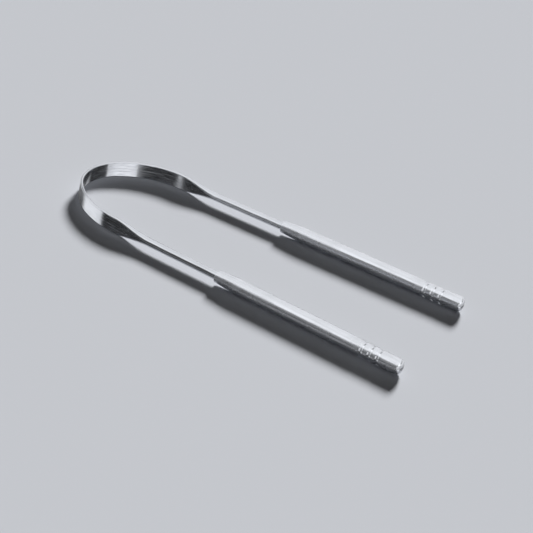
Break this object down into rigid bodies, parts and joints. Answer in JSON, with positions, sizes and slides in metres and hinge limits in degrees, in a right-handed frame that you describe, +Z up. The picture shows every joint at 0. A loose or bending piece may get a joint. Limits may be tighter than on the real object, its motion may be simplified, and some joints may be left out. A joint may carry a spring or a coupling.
{
  "type": "tongue scraper",
  "caption": "Bow of stainless wire, pressed flat on edge at the scraping end, with a closed tube handle swaged over each end of the wire.",
  "frame": {"origin": "under the middle of the whole scraper, in the plane of the strip's lower edge", "axes": "+X from the bow to the ends of the handles, +Y across the bow towards the right handle, +Z up, square to the plane of the wire"},
  "size_m": [0.155, 0.0614, 0.0065],
  "materials": {
    "bow_steel": "polished stainless steel with fine marks along the wire",
    "handle_steel": "polished stainless tube with fine marks from turning and handling"
  },
  "bodies": {
    "root": {"scraper_bow": "bow_steel", "left_handle": "handle_steel", "right_handle": "handle_steel"}
  },
  "joints": []
}
